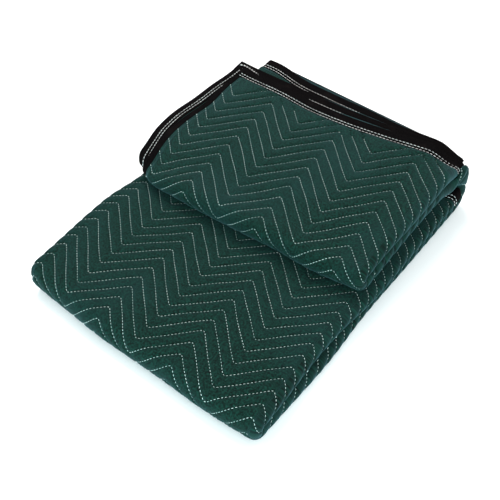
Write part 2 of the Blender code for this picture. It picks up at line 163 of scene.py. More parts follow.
# The flap's rise to its back and lean to its right, in metres a row, and how the rise begins, along v
FLAP_FRONT = 13.5
FLAP_RISE, FLAP_LEAN = 0.09 * ROW, 0.02 * ROW
RISE_AHEAD, RISE_OVER = 1, 4
FLAP_GAP = 0.40  # the share of the rise that is air under the flap

# Soft forms, where each one begins and over how many rows it grows: the flap's back right corner sinks,
# the back fold swells up beside it, and the flap's front left corner is pressed down
DROOP = {"share": 0.50, "u": 21.4, "over_u": 2.2, "v": 22.8, "over_v": 2.2}
BULGE = {"size": 1.05 * ROW, "u": 23.0, "over_u": 1.2, "v": 23.7, "over_v": 1.8,
         "level": 5.5, "over_level": 4, "last_level": 11.5}
DENT = {"size": 0.42 * ROW, "u": 4.6, "over_u": 1.2, "last_u": 9.6, "ease_u": 3.2,
        "last_v": 15.4, "ease_v": 2.6}

# The quilting
PUFF = 0.0011  # the filling's bulge between rows, above the plain face
SUNK = 0.0013  # the rows of stitches, below it
GROOVE_ROWS = 0.055  # how wide a row of stitches draws the cloth in
CORNER_ROUND = 0.055  # part of a half period over which each corner of the zigzag is rounded
SWAY = 0.052  # how unevenly the rows are sewn, in rows
SWAY_WAVES = {"slow": (0.83, 0.9), "wide": (0.31, -0.37), "quick": (2.3, 2.1)}  # turn along u, and by row
SWAY_START = 1.0
ROUNDS = 4  # rounds in which a row's place settles on a cloth with uneven sides
LAST_ROW = 22  # the flap's last row of stitches, next to its end
ZONES_MEET = 2.0  # rows past the back fold at which one zone's quilting gives way to the other's
NEAR_TAPE = 120  # how fast the quilting rises beside the flap's tape, across its top

# Steps along each layer and round each fold of the section, for each kind of line
SECTION_STEPS = {
    "kind": ("lower", "flap", "plain", "end", "lining", "end_lining", "tape"),
    "d": (14, 100, 18, 100, 12, 60, 100),
    "right": (12, 12, 10, 12, 6, 12, 12),
    "a": (98, 14, 56, 60, 12, 60, 60),
    "left": (6, 6, 6, 6, 6, 6, 8),
    "b": (10, 10, 10, 60, 8, 60, 40),
    "inner": (4, 4, 4, 4, 4, 4, 6),
    "c": (10, 10, 10, 60, 8, 60, 60),
}

# The cloth's lines, from row to row of the zigzag, and fine where they show
END_LINES = (0.0, BEHIND_EDGE, TAPE_ROWS * 0.5, TAPE_ROWS, TAPE_ROWS + PAST_TAPE, TAPER_ROWS)
PRESSED = 4  # the first of these are under the tape
FINE_STEPS = (0.0, 0.05, 0.15, 0.35, 0.65, 0.85, 0.95)
COARSE_STEPS = (0.0, 0.12, 0.5, 0.88)
LOWER_FIRST, LOWER_FINE, LOWER_FINE_END, LOWER_LAST = 26, 15, -3, -28
FLAP_FIRST, FLAP_FINE, FLAP_LAST = 2, 8, 26
ZONE_STEPS = 8  # lines between the two zones
CLOSED_UP = 0.02  # rows between lines that meet an end binding
SIDE_LINES = 260  # steps along a side tape

# Thread of the quilting
STITCH = 0.0053  # from one stitch to the next
DASH = 0.0030  # the part that shows
THREAD = 0.00046  # the thread's radius
THREAD_OUT = 0.8  # how far its middle is out of the cloth, in radii
SAMPLE = 0.04  # rows between the points of a line of stitches
FEWEST = 5  # points that make no line yet
ABOVE = 0.002  # from a line to the points that show which way is out
SEWN = {  # each zone's rows, and where they begin and end across it
    "lower": {"rows": range(25, -30, -1), "from": 4.4, "past_right": 0.6},
    "flap": {"rows": range(7, LAST_ROW + 1), "from": 5.2, "past_right": 0.0},
}
PAST_TURN = 1.0  # rows that the stitches go on round a hidden turn
FLAP_ACROSS = 18  # rows across the flap's top

# Thread of the tapes
TAPE_STITCH = 0.0066
TAPE_DASH = 0.0046
TAPE_THREAD = 0.00050
TAPE_THREAD_OUT = 0.6
TAPE_ROW_PLACES = (0.0180, 0.0242)  # from the end tape's fold
SIDE_ROW_PLACES = (0.0120, 0.0178)  # from the side tape's fold
TAPE_SAMPLES = 500
BACKTACK = {  # rows from the cloth's long edge, and from its end
    "inward": (0.11, 0.48, 0.88, 1.28, 1.78, 2.28),
    "from_end": (0.46, 0.34, 0.34, 0.40, 0.50, 0.64),
}
BACKTACK_BESIDE = (-0.03, 0.03)  # and from its middle to its two threads

# A dash's rings: their places as shares of its length, their sizes and their heights in radii
DASH_SHAPE = {
    "along": (-0.5, -0.28, 0.28, 0.5),
    "size": (0.45, 0.9, 0.9, 0.45),
    "up": (-0.9, 0.0, 0.0, -0.9),
}
DASH_AIM = 0.4  # the share of its length on either side that it is aimed by
DASH_ROUND = ((1, 0), (0, 1), (-1, 0), (0, -1))  # a ring's points, up and sideways
DASH_WIDE = 1.15  # width to height


def follow(table, name, place):
    """A smooth curve through a table's column, level past its ends."""
    x = np.array(table["v"] if "v" in table else table["u"], float)
    y = np.array(table[name], float)
    slope = np.gradient(y, x)
    place = np.clip(place, x[0], x[-1])
    i = np.clip(np.searchsorted(x, place, side="right") - 1, 0, len(x) - 2)
    h = x[i + 1] - x[i]
    t = (place - x[i]) / h
    return ((2 * t ** 3 - 3 * t ** 2 + 1) * y[i] + (t ** 3 - 2 * t ** 2 + t) * h * slope[i]
            + (3 * t ** 2 - 2 * t ** 3) * y[i + 1] + (t ** 3 - t ** 2) * h * slope[i + 1])


def smooth(value):
    """A value eased in and out between 0 and 1."""
    value = np.clip(value, 0.0, 1.0)
    return value * value * (3 - 2 * value)


def mix(first, last, share):
    return first + (last - first) * share


# The strip's stretches from end 2 to end 1, its section's strands and the sides that they keep to
LEG_2, LOWER_TURN, LEG_1, BACK_TURN, LEG_3, FLAP_TURN, LEG_4 = range(7)
STRAND = {"edge_d": 1, "d": 2, "right": 3, "a": 4, "fold": 5, "b": 6, "inner": 7, "c": 8, "edge_c": 9}
STRAND_LAYERS = {"right": "da", "a": "aa", "fold": "ab", "b": "bb", "inner": "bc", "c": "cc", "edge_c": "cc"}
SIDE_NAMES = ("fold", "edge_d", "edge_c", "right")


class Spots:
    """Points of the strip's section, on the centreline of its cloth.

    A flat spot lies a share of the way between two sides. A bent one lies on an arc round a centre
    that keeps to one side. Each side has an offset in rows.
    """

    FIELDS = ("strand", "side_1", "offset_1", "side_2", "offset_2", "share", "layer", "up", "half",
              "arc", "angle", "bulge", "out")

    def __init__(self):
        self.rows = []

    def add(self, strand, side_1, offset_1, side_2, offset_2, share, layer, up, half=THICK / 2,
            arc=0.0, angle=0.0, bulge=1.0):
        out = 1.0 if side_1 == "right" and arc else -1.0
        self.rows.append((STRAND[strand], SIDE_NAMES.index(side_1), offset_1, SIDE_NAMES.index(side_2),
                          offset_2, share, layer, up, half, arc, angle, bulge, out))

    def flat(self, strand, side_1, offset_1, side_2, offset_2, shares, up):
        for share in shares:
            self.add(strand, side_1, offset_1, side_2, offset_2, share, LAYER[strand], up)

    def edge(self, name, up, flip):
        tape = SIDE_TAPE[name] / ROW
        rows = [(0.0, BOUND / 2), (BEHIND_EDGE, BOUND / 2), (tape * 0.5, BOUND / 2), (tape, BOUND / 2),
                (tape + PAST_TAPE, PAST_TAPE_HALF), (SIDE_TAPER[name], THICK / 2)]
        side = "edge_" + name
        for offset, half in reversed(rows) if flip else rows:
            self.add(side, side, offset, side, offset, 0.0, LAYER[name], up, half)

    def fold(self, strand, side, offset, layer, up, radius, angles, bulge):
        for angle in angles:
            self.add(strand, side, offset, side, offset, 0.0, layer, up, arc=radius, angle=angle, bulge=bulge)

    def done(self):
        table = np.array(self.rows, float).reshape(-1, len(self.FIELDS))
        made = {name: table[:, index] for index, name in enumerate(self.FIELDS)}
        for name in ("strand", "side_1", "side_2"):
            made[name] = made[name].astype(int)
        return made


def d_layer(made, shares):
    made.flat("d", "edge_d", SIDE_TAPER["d"], "right", RIGHT_CENTRE, shares, 1)


def a_layer(made, shares):
    made.flat("a", "right", RIGHT_CENTRE, "fold", FOLD_CENTRE, shares, -1)


def right_fold(made, angles):
    made.fold("right", "right", RIGHT_CENTRE, 0.0, 1, SIDE_RADIUS, angles, 1.0)


def left_fold(made, angles):
    made.fold("fold", "fold", FOLD_CENTRE, -1.0, -1, SMALL_RADIUS, angles, 1.0)


def inner_steps(count):
    return [step / count for step in range(1, count)]


def arc_steps(count):
    return [math.pi * step / count for step in range(count + 1)]


def section(kind):
    """The section's spots, from the bound edge of layer d to that of layer c."""
    column = SECTION_STEPS["kind"].index(kind)
    steps = {name: values[column] for name, values in SECTION_STEPS.items()}
    made = Spots()
    made.edge("d", 1, False)
    d_layer(made, inner_steps(steps["d"]))
    right_fold(made, arc_steps(steps["right"]))
    a_layer(made, inner_steps(steps["a"]))
    left_fold(made, arc_steps(steps["left"]))
    made.flat("b", "fold", FOLD_CENTRE, "right", RIGHT_CENTRE, inner_steps(steps["b"]), 1)
    made.fold("inner", "right", RIGHT_CENTRE, 0.0, -1, SMALL_RADIUS, arc_steps(steps["inner"]), -1.0)
    made.flat("c", "right", RIGHT_CENTRE, "edge_c", SIDE_TAPER["c"], inner_steps(steps["c"]), -1)
    made.edge("c", -1, True)
    return made.done()


def pick(spots, index):
    return {name: values[index] for name, values in spots.items()}


def between_sides(spots, sides):
    """u of the spots' centres, for sides given in the order of SIDE_NAMES."""
    return mix(np.choose(spots["side_1"], sides) + spots["offset_1"],
               np.choose(spots["side_2"], sides) + spots["offset_2"], spots["share"])


def even(spots, zone):
    """u of the spots on a pad with straight sides."""
    return between_sides(spots, [np.full(1, EVEN_SIDES[zone][name]) for name in SIDE_NAMES])


def u_of(spots, sides, normal):
    """u of points so far out of their spots."""
    radius = spots["arc"] + normal * spots["bulge"]
    bent = spots["out"] * radius * np.sin(spots["angle"]) / ROW
    return between_sides(spots, sides) + np.where(spots["arc"] > 0, bent, 0.0)


def layer_of(spots, normal):
    """Place in the strip, in layers from its middle, of points so far out of their spots."""
    radius = spots["arc"] + normal * spots["bulge"]
    bent = spots["up"] * radius * np.cos(spots["angle"]) / PITCH
    return spots["layer"] + np.where(spots["arc"] > 0, bent, spots["up"] * normal / PITCH)


def starts_of(spots):
    """Lengths along the strip, in rows from its end 2, at which its legs and folds begin."""
    lower = follow(FRONTS, "lower", even(spots, "lower")) + TURN_RADIUS
    flap = follow(FRONTS, "flap", even(spots, "flap")) + TURN_RADIUS
    lengths = (END_2 - lower, math.pi * TURN_RADIUS, BACK_CENTRE - lower, math.pi * BACK_RADIUS,
               BACK_CENTRE - flap, math.pi * TURN_RADIUS)
    starts = [np.zeros_like(lower)]
    for length in lengths:
        starts.append(starts[-1] + length)
    return starts, lower, flap


def begun(form, name, place):
    """How far a soft form has grown at places past its beginning."""
    return smooth((place - form[name]) / form["over_" + name])


def left_of(form, name, place):
    """How much of a soft form is left at places before its end."""
    return smooth((form["last_" + name] - place) / form["ease_" + name])


def height(u, v, level, zone_share):
    """Height of points at a level of the stack, with all the pad's soft forms."""
    base = level + THICK / PITCH / 2
    pressed = 1 - FLAP_PRESS * smooth((v - PRESS_FROM) / PRESS_OVER)
    raised = mix(follow(LIFTS, "lower", u), follow(LIFTS, "flap", u), zone_share) * pressed
    raised = raised + SWELL * np.sin(SWELL_WAVE * v)

    in_flap = (level - FLAP_LEVEL) / FLAP_LEVELS
    rise = FLAP_RISE * (v - FLAP_FRONT) + FLAP_LEAN * (u - CENTRE_U)
    rise = rise * smooth((v - FLAP_FRONT + RISE_AHEAD) / RISE_OVER)
    rise = rise * (1 - DROOP["share"] * begun(DROOP, "u", u) * begun(DROOP, "v", v))
    above = np.maximum(0.0, in_flap) * (1 - FLAP_GAP)

    bulge = BULGE["size"] * begun(BULGE, "u", u) * begun(BULGE, "v", v) * begun(BULGE, "level", level)
    raised = raised + np.where(level < BULGE["last_level"], bulge, 0.0)
    in_dent = begun(DENT, "u", u) * left_of(DENT, "u", u) * left_of(DENT, "v", v)
    raised = raised - DENT["size"] * in_dent * zone_share * np.clip(in_flap, 0.0, 1.0)
    return (PITCH * base + raised * smooth(base / LIFT_LEVELS) + rise * (FLAP_GAP * zone_share + above)
            + AIR * zone_share)


def on_strip(q, spots, layer):
    """v, level, share of the way to the flap's zone and sides of points at q along the strip."""
    starts, lower, flap = starts_of(spots)
    v, level, share = np.zeros_like(q), np.zeros_like(q), np.zeros_like(q)
    before, after = np.zeros(q.shape, int), np.zeros(q.shape, int)
    stretch = sum((q >= start).astype(int) for start in starts[1:])

    def put(number, v_here, level_here, first, last, share_here=0.0):
        here = stretch == number
        for target, value in ((v, v_here), (level, level_here), (share, share_here)):
            target[here] = np.broadcast_to(value, q.shape)[here]
        before[here] = first
        after[here] = last

    def turn(number, centre, ahead, name, side, first, last):
        """A half turn between two legs, ahead or back along v, with layer d out or in."""
        part = (q - starts[number]) / (starts[number + 1] - starts[number])
        radius = TURNS[name]["reach"] + side * layer
        upward = 1 if last > first else -1
        put(number, centre + ahead * radius * LAYER_ROWS * np.sin(math.pi * part),
            TURNS[name]["level"] - upward * radius * np.cos(math.pi * part), first, last, part)

    put(LEG_2, END_2 - q, LEG_LEVEL[2] - layer, 2, 2)
    turn(LOWER_TURN, lower, -1, "lower", -1, 2, 1)
    put(LEG_1, lower + q - starts[LEG_1], LEG_LEVEL[1] + layer, 1, 1)
    turn(BACK_TURN, BACK_CENTRE, 1, "back", -1, 1, 3)
    put(LEG_3, BACK_CENTRE - (q - starts[LEG_3]), LEG_LEVEL[3] - layer, 3, 3)
    turn(FLAP_TURN, flap, -1, "flap", 1, 3, 4)
    put(LEG_4, flap + q - starts[LEG_4], LEG_LEVEL[4] + layer, 4, 4)

    blend = smooth(share)
    zone_share = np.where((before == 1) & (after == 3), blend, (before > 2).astype(float))
    sides = []
    for name in SIDE_NAMES:
        found = [follow(SIDES[leg], name, v) for leg in LEG_LEVEL]
        sides.append(mix(np.choose(before - 1, found), np.choose(after - 1, found), blend))
    return v, level, zone_share, sides


def to_world(q, spots, normal):
    """World places of points at q along the strip and so far out of their spots."""
    v, level, zone_share, sides = on_strip(q, spots, layer_of(spots, normal))
    u = u_of(spots, sides, normal)
    z = np.maximum(height(u, v, level, zone_share), ON_FLOOR)
    return np.stack([(u - CENTRE_U) * ROW, (v - CENTRE_V) * ROW, z], axis=-1)


def across(q, spots, zone):
    """Place across the quilting, over the outer face, which is u on the zone's top layer."""
    _, _, _, sides = on_strip(q, spots, spots["layer"])
    u = between_sides(spots, sides)
    right = sides[SIDE_NAMES.index("right")] + RIGHT_CENTRE
    left = sides[SIDE_NAMES.index("fold")] + FOLD_CENTRE
    turned = spots["angle"] if zone == "flap" else math.pi - spots["angle"]
    strand = spots["strand"]
    result = np.where(strand == STRAND["right"], right + OUTER_ARC["right"] * turned, u)
    result = np.where(strand == STRAND["fold"], left - OUTER_ARC["fold"] * spots["angle"], result)
    far = strand == STRAND["a" if zone == "flap" else "d"]
    return np.where(far, 2 * right + OUTER_ARC["right"] * math.pi - u, result)


def zigzag_shift(place, zone):
    """How far the stitches lie from the middle of their zigzag, in rows of v."""
    grid = LATTICE[zone]
    turn = np.abs((place - grid["valley"]) / grid["half"] % 2.0 - 1)
    peak = np.clip(1 - turn / CORNER_ROUND, 0, 1) ** 2
    valley = np.clip(1 - (1 - turn) / CORNER_ROUND, 0, 1) ** 2
    return grid["swing"] * (0.5 - turn - CORNER_ROUND / 2 * (peak - valley))


def sway(place, row):
    """Slow unevenness of the sewn rows, in rows of v."""
    slow, wide, quick = (along * place + each * row for along, each in SWAY_WAVES.values())
    return SWAY * np.sin(slow) * np.sin(wide + SWAY_START) + SWAY / 2 * np.sin(quick)


def row_base(row, spots, zone):
    """Length along the strip at which a row's middle line passes each spot, in rows."""
    grid = LATTICE[zone]
    if zone == "lower":
        return END_2 - row * grid["row"] - grid["first"]
    starts, _, flap = starts_of(spots)
    return row * grid["row"] + grid["first"] + starts[LEG_4] - flap


def length_of(row, spots, zone, share):
    """Length along the strip at which a row of quilting passes a spot."""
    base = row_base(row, spots, zone) + np.zeros(len(spots["share"]))
    sign = -1.0 if zone == "lower" else 1.0
    q = base
    for _ in range(ROUNDS):
        place = across(q, spots, zone)
        q = base + sign * (zigzag_shift(place, zone) + sway(place, row)) * share
    return q


def row_at(q, spots, zone):
    """The row of quilting at a point, whole on a row of stitches."""
    grid = LATTICE[zone]
    place = across(q, spots, zone)
    shift = zigzag_shift(place, zone)
    if zone == "lower":
        row = (END_2 - q - shift - grid["first"]) / grid["row"]
    else:
        starts, _, flap = starts_of(spots)
        row = (flap + q - starts[LEG_4] - shift - grid["first"]) / grid["row"]
    return row - sway(place, row) / grid["row"]


def relief(q, spots):
    """How far the outer face lies above its plain place, from the filling and the stitches."""
    starts, _, _ = starts_of(spots)
    past = q - starts[LEG_3] - ZONES_MEET
    flap = past > 0
    row = np.where(flap, row_at(q, spots, "flap"), row_at(q, spots, "lower"))
    near = np.abs(row - np.round(row))
    near = np.where(flap & (row > LAST_ROW), np.minimum(row - LAST_ROW, 0.5), near)
    shape = PUFF * (1 - (1 - 2 * near) ** 3) - SUNK * np.exp(-(near / GROOVE_ROWS) ** 2)
    strand = spots["strand"]
    bound = (strand == STRAND["edge_d"]) | (strand == STRAND["edge_c"])
    quilted = np.isin(strand, [STRAND[name] for name in ("d", "right", "a", "fold")])
    to_tape = np.where(strand == STRAND["d"], smooth(spots["share"] * NEAR_TAPE), 1.0)
    return np.where(bound | ~quilted, 0.0, shape * to_tape * smooth(np.abs(past)))


def ends_of(spots):
    """v at which each spot's cloth ends at the flap's back edge."""
    u = even(spots, "flap")
    found = {name: follow(ENDS, name, u) for name in LAYER}
    strand = spots["strand"]
    part = spots["angle"] / math.pi
    result = found["d"]
    for name, (first, last) in STRAND_LAYERS.items():
        result = np.where(strand == STRAND[name], mix(found[first], found[last], part), result)
    return result


def flap_zero(spots):
    """Length along the strip at which v would be 0 on the flap's top."""
    starts, _, flap = starts_of(spots)
    return starts[LEG_4] - flap


def placed(name, data):
    """A new object of the scene."""
    made = bpy.data.objects.new(name, data)
    bpy.context.scene.collection.objects.link(made)
    return made


def new_object(name, points, faces, material):
    """A smooth mesh with one material, on the part's one body."""
    mesh = bpy.data.meshes.new(name)
    mesh.from_pydata(points.tolist(), [], faces)
    mesh.validate()
    mesh.shade_smooth()
    mesh.materials.append(material)
    made = placed(name, mesh)
    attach(made, "root")
    return made


def wall(low, high, count):
    """Faces between two rings of the same count, from the numbers of their first points."""
    faces = []
    for index in range(count):
        after = (index + 1) % count
        faces.append((low + index, low + after, high + after, high + index))
    return faces


def from_end(inward, at_flap):
    """A line that keeps its distance from one end of the strip."""
    def length(spots, bent):
        if at_flap:
            return flap_zero(spots) + ends_of(spots) - inward
        return np.full(len(spots["share"]), inward)
    return length


def along_row(row, zone, room):
    """A line along a row of quilting, with room kept for the lines between it and its end."""
    def length(spots, bent):
        q = length_of(row, spots, zone, bent)
        if zone == "lower":
            return np.maximum(q, TAPER_ROWS + room)
        return np.minimum(q, flap_zero(spots) + ends_of(spots) - TAPER_ROWS - room)
    return length


def between_zones(share):
    """A line on the way from the last row of the lower zone to the flap's first."""
    def length(spots, bent):
        return mix(length_of(LOWER_LAST, spots, "lower", bent),
                   length_of(FLAP_FIRST, spots, "flap", bent), share)
    return length


def lines():
    """The lines across the strip from end 2 to end 1: each one's section and its spots' lengths."""
    made = [("end", from_end(inward, False)) for inward in END_LINES]
    number = 0
    for row in range(LOWER_FIRST, LOWER_LAST, -1):
        fine = LOWER_FINE_END < row <= LOWER_FINE
        for step in FINE_STEPS if fine else COARSE_STEPS:
            number += 1
            made.append(("lower" if fine else "plain", along_row(row - step, "lower", CLOSED_UP * number)))
    made += [("plain", between_zones(step / ZONE_STEPS)) for step in range(ZONE_STEPS)]
    steps = []
    for row in range(FLAP_FIRST, FLAP_LAST):
        kind = "flap" if row >= FLAP_FINE else "plain"
        fine = FLAP_FINE <= row <= LAST_ROW
        steps += [(kind, row + step) for step in (FINE_STEPS if fine else COARSE_STEPS)]
    for number, (kind, row) in enumerate(steps):
        made.append((kind, along_row(row, "flap", CLOSED_UP * (len(steps) - number))))
    made += [("end", from_end(inward, True)) for inward in reversed(END_LINES)]
    return made


ONCE_ROUND = 30  # more than the places of the outer face, so that the lining's come after them
WITHIN, CLEAR = 0.98, 0.01  # a strand's spots keep within it
EDGE_WITHIN, EDGE_CLEAR = 0.9, 0.95  # and those of the bound edges too


def ring_places(spots, outer):
    """Where each spot comes in the order round the section, by its strand and its place along it."""
    strand = spots["strand"]
    part = np.where(spots["arc"] > 0, spots["angle"] / math.pi, spots["share"]) * WITHIN + CLEAR
    inward = spots["offset_1"] / SIDE_TAPER["c"] * EDGE_WITHIN
    part = np.where(strand == STRAND["edge_d"], inward, part)
    part = np.where(strand == STRAND["edge_c"], EDGE_CLEAR - inward, part)
    return strand + part if outer else ONCE_ROUND - (strand + part)


def join_rings(low_places, high_places, low, high):
    """Triangles between two rings of points, taken in the order of their places round the section."""
    faces = []
    i = j = 0
    n, m = len(low_places), len(high_places)
    while i < n or j < m:
        next_low = low_places[i + 1] if i + 1 < n else math.inf
        next_high = high_places[j + 1] if j + 1 < m else math.inf
        a, b = low + i % n, high + j % m
        if i < n and (j >= m or next_low <= next_high):
            faces.append((a, low + (i + 1) % n, b))
            i += 1
        else:
            faces.append((a, high + (j + 1) % m, b))
            j += 1
    return faces


CLOTH_PLACE = "cloth_place"  # the attribute that holds each point's place on the flat cloth, in metres
STRANDS_APART = 20.0  # rows between the places of one strand and the next


def quilted_cloth(material):
    """The whole cloth in its folds, puffed between its rows of stitches."""
    sections = {kind: section(kind) for kind in SECTION_STEPS["kind"]}
    rings, points, flat = [], [], []
    total = 0
    made = lines()
    for number, (kind, length) in enumerate(made):
        pressed = number < PRESSED or number >= len(made) - PRESSED
        lining = pick(sections["end_lining" if kind == "end" else "lining"], slice(None, None, -1))
        ring, places = [], []
        for spots, outer in ((sections[kind], True), (lining, False)):
            q = length(spots, float(outer))
            half = np.full(len(q), BOUND / 2) if pressed else spots["half"]
            normal = half + relief(q, spots) if outer and not pressed else half
            ring.append(to_world(q, spots, normal if outer else -half))
            places.append(ring_places(spots, outer))
            on_cloth = even(spots, "lower") + spots["strand"] * STRANDS_APART
            flat.append(np.stack([on_cloth, q, np.zeros(len(q))], axis=1) * ROW)
        points.append(np.concatenate(ring))
        rings.append((total, np.concatenate(places)))
        total += len(points[-1])
    faces = [tuple(reversed(range(len(points[0])))), tuple(range(rings[-1][0], total))]
    for (low, low_places), (high, high_places) in zip(rings, rings[1:]):
        if len(low_places) == len(high_places):
            faces += wall(low, high, len(low_places))
        else:
            faces += join_rings(low_places, high_places, low, high)
    made_cloth = new_object("padded_cloth", np.concatenate(points), faces, material)
    place_on_cloth = made_cloth.data.attributes.new(CLOTH_PLACE, "FLOAT_VECTOR", "POINT")
    place_on_cloth.data.foreach_set("vector", np.concatenate(flat).ravel())
    return made_cloth


EDGE_THIN, FOLD_THIN = 0.9, 0.4  # a tape is rounded off at its edge and where it is folded
TAPE_FLAT = (0.97, 0.75, 0.5, 0.25)  # its points between, as shares of its width
TAPE_FOLD = 0.002  # from a tape's fold to where it lies flat


def tape_profile(width):
    """Each point's distance inwards from the cloth's edge and out of its mid-plane."""
    upper = [(width, TAPE_OUT * EDGE_THIN)]
    upper += [(width * share, TAPE_OUT) for share in TAPE_FLAT]
    upper += [(TAPE_FOLD, TAPE_OUT), (0.0, TAPE_OUT * EDGE_THIN), (-TAPE_BACK, TAPE_OUT * FOLD_THIN)]
    lower = [(inward, -out) for inward, out in reversed(upper)]
    inside = [(width, -TAPE_IN), (-TAPE_GAP, -TAPE_IN), (-TAPE_GAP, TAPE_IN), (width, TAPE_IN)]
    return upper + lower + inside


def tube(name, points, rings, material):
    """A closed body through rings of the same number of points."""
    count = len(points) // rings
    faces = [tuple(reversed(range(count))), tuple(range(len(points) - count, len(points)))]
    for ring in range(rings - 1):
        faces += wall(ring * count, (ring + 1) * count, count)
    return new_object(name, points, faces, material)


def edge_spot(name, offsets, up):
    """Spots at offsets from one bound long edge."""
    made = Spots()
    side = "edge_" + name
    for offset in offsets:
        made.add(side, side, offset, side, offset, 0.0, LAYER[name], up)
    return made.done()


def side_binding(name, layer, up, material):
    """The tape folded over one long edge of the cloth, between the two end bindings."""
    profile = tape_profile(SIDE_TAPE[layer])
    spots = edge_spot(layer, [inward / ROW for inward, _ in profile], up)
    normal = np.array([out for _, out in profile])
    gap = (TAPE_WIDTH + TAPE_GAP) / ROW
    last = flap_zero(spots) + ends_of(spots) - gap
    points = [to_world(mix(np.full(len(normal), gap), last, step / SIDE_LINES), spots, normal)
              for step in range(SIDE_LINES + 1)]
    return tube(name, np.concatenate(points), SIDE_LINES + 1, material)


def tape_section():
    """Finely spaced spots over the whole section, with the tape's fold past each bound edge."""
    parts = (edge_spot("d", [-TAPE_BACK / ROW], 1), section("tape"), edge_spot("c", [-TAPE_BACK / ROW], -1))
    return {name: np.concatenate([part[name] for part in parts]) for name in Spots.FIELDS}


def end_binding(name, at_flap, material):
    """The tape folded over one end of the strip, round all the folds of its section."""
    spots = tape_section()
    count = len(spots["share"])
    rings = []
    for inward, out in tape_profile(TAPE_WIDTH):
        length = from_end(inward / ROW, at_flap)
        rings.append(to_world(length(spots, 1.0), spots, np.full(count, out)))
    points = np.stack(rings, axis=1).reshape(-1, 3)
    return tube(name, points, count, material)


def plain_material(name, colour, roughness, specular):
    """A material of one colour, and its shader."""
    made = bpy.data.materials.new(name)
    made.use_nodes = True
    shader = made.node_tree.nodes["Principled BSDF"]
    shader.inputs["Base Color"].default_value = (*colour, 1.0)
    shader.inputs["Roughness"].default_value = roughness
    shader.inputs["Specular IOR Level"].default_value = specular
    return made, shader


def add_node(material, kind, **values):
    """A node of a material, with its settings and inputs given by name."""
    node = material.node_tree.nodes.new(kind)
    for name, value in values.items():
        if hasattr(node, name):
            setattr(node, name, value)
        else:
            node.inputs[name.title()].default_value = value
    return node


def join(material, value, node, entry):
    """Set an input of a node from another node's output."""
    material.node_tree.links.new(value, node.inputs[entry])


def stretched_noise(material, place, scale, stretch=(1.0, 1.0, 1.0), turn=0.0, detail=3.0):
    """Noise that may be drawn out along one direction."""
    mapping = add_node(material, "ShaderNodeMapping")
    mapping.inputs["Rotation"].default_value = (0.0, 0.0, turn)
    mapping.inputs["Scale"].default_value = stretch
    noise = add_node(material, "ShaderNodeTexNoise", scale=scale, detail=detail)
    join(material, place, mapping, "Vector")
    join(material, mapping.outputs["Vector"], noise, "Vector")
    return noise.outputs[0]


MIX_COLOURS = (6, 7)  # the numbers of the mix node's two colour inputs


def mixed(material, first, second, value, tone):
    """A first colour, or a node's colour output, that a second one comes into where a value is high."""
    reach = TONES[tone]
    share = add_node(material, "ShaderNodeMapRange")
    join(material, value, share, "Value")
    for name, number in (("From Min", reach["low"]), ("From Max", reach["high"]), ("To Max", reach["most"])):
        share.inputs[name].default_value = number
    node = add_node(material, "ShaderNodeMix", data_type="RGBA")
    for entry, colour in zip(MIX_COLOURS, (first, second)):
        if isinstance(colour, tuple):
            node.inputs[entry].default_value = (*colour, 1.0)
        else:
            join(material, colour, node, entry)
    join(material, share.outputs["Result"], node, 0)
    return node.outputs[2]


def calculated(material, kind, first, second):
    """A sum, product or other result of two values, each a number or a node's output."""
    node = add_node(material, "ShaderNodeMath", operation=kind)
    for entry, value in enumerate((first, second)):
        if isinstance(value, float):
            node.inputs[entry].default_value = value
        else:
            join(material, value, node, entry)
    return node.outputs[0]


def bumped(material, value, strength, distance, before=None):
    """A bump from a value, over another bump if one is given."""
    node = add_node(material, "ShaderNodeBump", strength=strength, distance=distance)
    join(material, value, node, "Height")
    if before:
        join(material, before, node, "Normal")
    return node.outputs["Normal"]


YARN = 0.0026  # from one slub of the cloth to the next
SLUB = 0.22  # how far a slub is drawn out
CLOTH_NOISE = {
    "across_yarn": {"scale": 1 / YARN, "stretch": (1.0, SLUB, 1.0), "detail": 2.0},
    "along_yarn": {"scale": 1 / YARN, "stretch": (SLUB, 1.0, 1.0), "detail": 2.0},
    "fuzz": {"scale": 520.0, "turn": 0.4},
    "patches": {"scale": 7.0},
    "flecks": {"scale": 330.0, "turn": 0.9, "detail": 1.0},
    "puckers": {"scale": 42.0, "stretch": (1.0, 0.6, 1.0), "turn": 0.6, "detail": 2.0},
}
WEAVE_SHARE, FUZZ_SHARE, FLECKS_SHARE = 0.35, 0.25, 0.40
DARK_GREEN, LIGHT_GREEN = (0.0002, 0.0042, 0.0025), (0.0038, 0.0305, 0.0215)
FADED_GREEN = (0.0062, 0.0260, 0.0250)
CLOTH_SURFACE = {"roughness": 0.88, "specular": 0.10}
SHEEN = {"Sheen Weight": 0.13, "Sheen Roughness": 0.45, "Sheen Tint": (0.35, 0.80, 0.95, 1.0)}

TAPE_NOISE = {"rib": {"scale": 650.0, "detail": 2.0}, "wear": {"scale": 38.0, "turn": 0.3}}
TAPE_COLOUR = (0.0025, 0.0020, 0.0022)
TAPE_SURFACE = {"roughness": 0.85, "specular": 0.02}
TAPE_DARK, TAPE_LIGHT = (0.0010, 0.0008, 0.0009), (0.0040, 0.0032, 0.0034)
TAPE_WORN = (0.0078, 0.0056, 0.0054)
THREAD_NOISE = 60.0
THREAD_SURFACE = {"roughness": 0.55, "specular": 0.3}
QUILT_THREAD = {"light": (0.60, 0.74, 0.70), "dark": (0.30, 0.44, 0.41)}
PALE_THREAD = {"light": (0.85, 0.86, 0.84), "dark": (0.50, 0.50, 0.49)}

